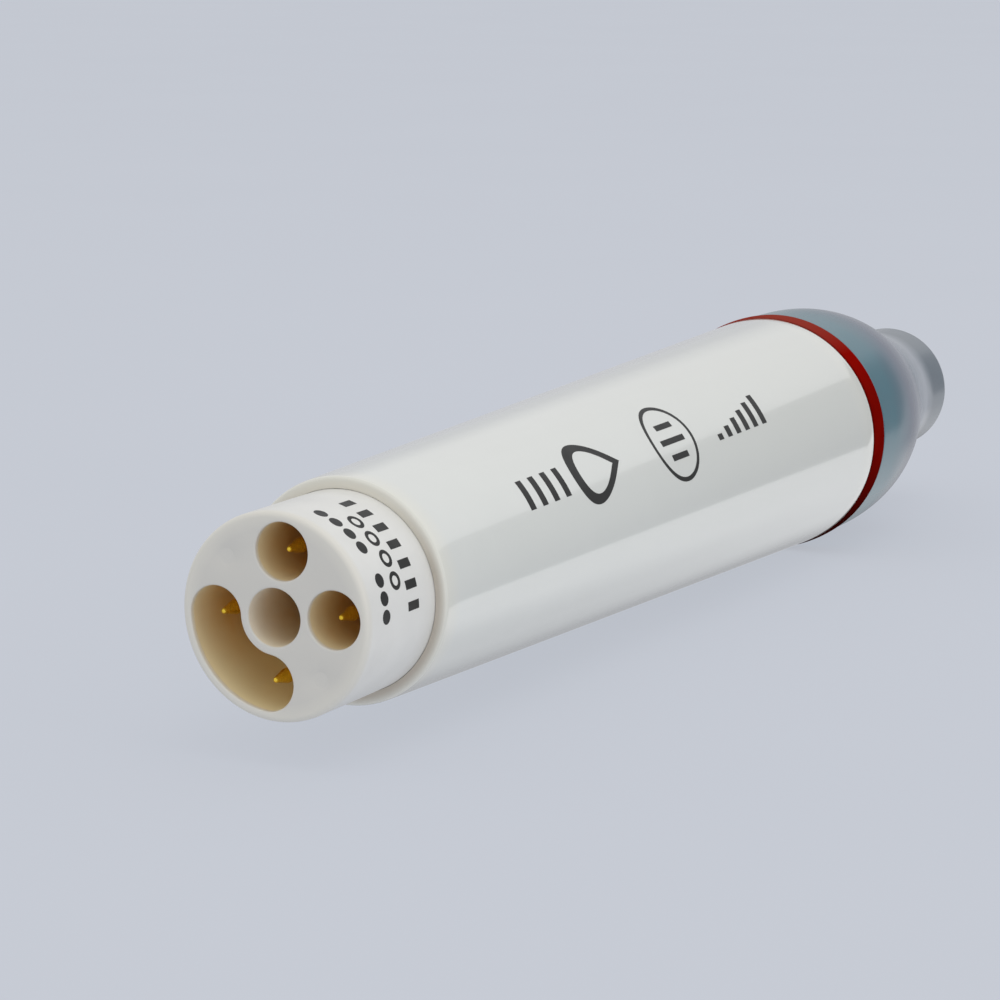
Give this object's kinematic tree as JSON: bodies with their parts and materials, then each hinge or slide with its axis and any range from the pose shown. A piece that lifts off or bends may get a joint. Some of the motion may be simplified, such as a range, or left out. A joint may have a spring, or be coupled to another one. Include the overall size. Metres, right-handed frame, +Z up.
{
  "type": "ultrasonic scaler handpiece",
  "caption": "Detachable piezo-electric dental scaler handpiece: tapered white sleeve, plug-in contact socket, red seal ring, screw-off blue-grey nose cap and threaded stub for a tip.",
  "frame": {"origin": "centre of the connector face, on the handpiece's axis, at the mouth of the water bore", "axes": "+Y along the axis from the connector to the nose, +Z up, +X to the right seen from the connector end"},
  "size_m": [0.0198, 0.1145, 0.0198],
  "materials": {
    "white_shell": "glossy white moulded plastic",
    "white_socket": "satin white moulded plastic",
    "tan_plastic": "tan moulded plastic",
    "gold_contact": "gold plated, polished",
    "circuit_board": "green solder mask",
    "black_rubber": "matt black rubber",
    "steel": "turned steel",
    "grey_silicone": "soft grey silicone",
    "insulation": "amber insulating tube",
    "red_wire": "red wire insulation",
    "blue_wire": "blue wire insulation",
    "neck_steel": "turned stainless steel",
    "lamp_yellow": "lamp phosphor under clear resin",
    "clear_pipe": "clear moulded plastic",
    "white_silicone": "soft white silicone",
    "red_seal": "glossy dark red silicone",
    "blue_grey_cap": "satin blue-grey, slightly translucent",
    "ceramic": "piezo ceramic with silvered faces",
    "copper": "bare copper alloy",
    "titanium": "turned titanium alloy"
  },
  "bodies": {
    "handle": {"handle_shell": "white_shell", "socket_insert": "white_socket", "pin_carrier": "tan_plastic", "drive_pin_upper": "gold_contact", "drive_pin_side": "gold_contact", "lamp_pin_side": "gold_contact", "lamp_pin_lower": "gold_contact", "pin_board": "circuit_board", "socket_seal": "black_rubber", "retaining_nut": "steel", "water_tube": "steel", "tube_seal_rear": "black_rubber", "tube_seal_front": "black_rubber", "rear_node_ring": "grey_silicone", "front_node_ring": "grey_silicone", "stack_sleeve": "insulation", "drive_lead_upper": "red_wire", "drive_lead_side": "red_wire", "lamp_lead_side": "blue_wire", "lamp_lead_lower": "blue_wire", "front_neck": "neck_steel", "lamp_board": "circuit_board", "lamps": "lamp_yellow", "light_pipe": "clear_pipe", "horn_seal": "white_silicone"},
    "ring_carrier": {"seal_ring": "red_seal"},
    "cap": {"nose_cap": "blue_grey_cap", "nose_seal": "black_rubber"},
    "transducer": {"back_mass": "steel", "preload_bolt": "steel", "bolt_sleeve": "insulation", "horn": "titanium", "piezo_disc_1": "ceramic", "piezo_disc_2": "ceramic", "piezo_disc_3": "ceramic", "piezo_disc_4": "ceramic", "electrode_1": "copper", "electrode_2": "copper", "electrode_3": "copper", "electrode_4": "copper", "electrode_jumper_upper": "copper", "electrode_jumper_side": "copper"}
  },
  "joints": [
    {"name": "nose_cap_travel", "type": "slide", "parent": "handle", "child": "ring_carrier", "axis": [0, 1, 0], "range_m": [0, 0.004]},
    {"name": "nose_cap_turn", "type": "hinge", "parent": "ring_carrier", "child": "cap", "pos_m": [0, 0.0837, 0], "axis": [0, 1, 0], "range_deg": [0, 1440]},
    {"name": "transducer_vibration", "type": "slide", "parent": "handle", "child": "transducer", "axis": [0, 1, 0], "range_m": [-0.00005, 0.00005], "stiffness_N_per_m": 2000}
  ],
  "couplings": [
    {"joint": "nose_cap_turn", "follows": "nose_cap_travel", "rad_per_m": 6283.2}
  ]
}
